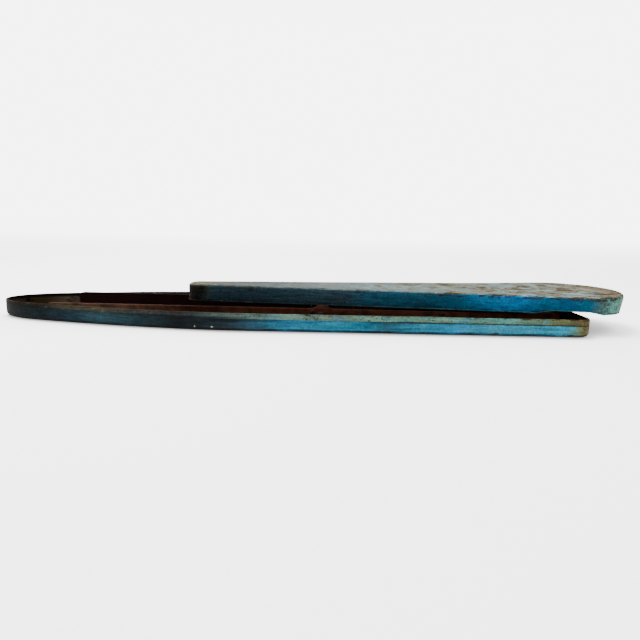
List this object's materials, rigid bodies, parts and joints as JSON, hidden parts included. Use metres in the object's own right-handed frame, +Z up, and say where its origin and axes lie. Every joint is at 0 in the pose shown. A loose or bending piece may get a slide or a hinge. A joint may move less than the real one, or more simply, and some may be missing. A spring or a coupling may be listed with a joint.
{
  "type": "folding sleeve board",
  "caption": "Folding tabletop ironing board of painted sheet steel: two shallow tray boards joined by folding parallelogram legs, shown folded flat.",
  "frame": {"origin": "centre of the folded part's bounding box on the table plane", "axes": "+X along the boards to the upper board's round nose, +Y across the boards away from the picture's viewer, +Z up"},
  "size_m": [0.6638, 0.144, 0.0373],
  "materials": {
    "blue_paint": "worn enamel with rust specks",
    "pale_paint": "chalky worn enamel",
    "rusty_steel": "rust brown",
    "dark_steel": "dark oxidised",
    "worn_steel": "dull worn"
  },
  "bodies": {
    "lower_board": {"lower_board_pan": "blue_paint", "lower_channel": "rusty_steel", "lower_rivet_1_near": "dark_steel", "lower_rivet_1_far": "dark_steel", "lower_rivet_2_near": "dark_steel", "lower_rivet_2_far": "dark_steel", "lower_rivet_3_near": "dark_steel", "lower_rivet_3_far": "dark_steel", "lower_rivet_4_near": "dark_steel", "lower_rivet_4_far": "dark_steel", "left_lower_pin": "worn_steel", "left_stop_rod": "dark_steel", "left_spacer_near": "dark_steel", "left_spacer_far": "dark_steel", "right_lower_pin": "worn_steel", "right_stop_rod": "dark_steel", "right_spacer_near": "dark_steel", "right_spacer_far": "dark_steel"},
    "left_leg_body": {"left_leg": "rusty_steel"},
    "right_leg_body": {"right_leg": "rusty_steel"},
    "upper_board": {"upper_board_pan": "blue_paint", "upper_channel": "rusty_steel", "upper_rivet_1_near": "pale_paint", "upper_rivet_1_far": "pale_paint", "upper_rivet_2_near": "pale_paint", "upper_rivet_2_far": "pale_paint", "upper_rivet_3_near": "pale_paint", "upper_rivet_3_far": "pale_paint", "left_upper_pin": "worn_steel", "left_washer_near": "worn_steel", "left_washer_far": "worn_steel", "right_upper_pin": "worn_steel", "right_washer_near": "worn_steel", "right_washer_far": "worn_steel"}
  },
  "joints": [
    {"name": "board_fold", "type": "hinge", "parent": "lower_board", "child": "left_leg_body", "pos_m": [0.012, 0, 0.0105], "axis": [0, -1, 0], "range_deg": [0, 88]},
    {"name": "upper_board_level", "type": "hinge", "parent": "left_leg_body", "child": "upper_board", "pos_m": [0.12462, 0, 0.0282], "axis": [0, -1, 0], "range_deg": [-88, 0]},
    {"name": "right_leg_fold", "type": "hinge", "parent": "lower_board", "child": "right_leg_body", "pos_m": [0.144, 0, 0.0105], "axis": [0, -1, 0], "range_deg": [0, 88]}
  ],
  "couplings": [
    {"joint": "upper_board_level", "follows": "board_fold", "ratio": -1},
    {"joint": "right_leg_fold", "follows": "board_fold", "ratio": 1}
  ]
}
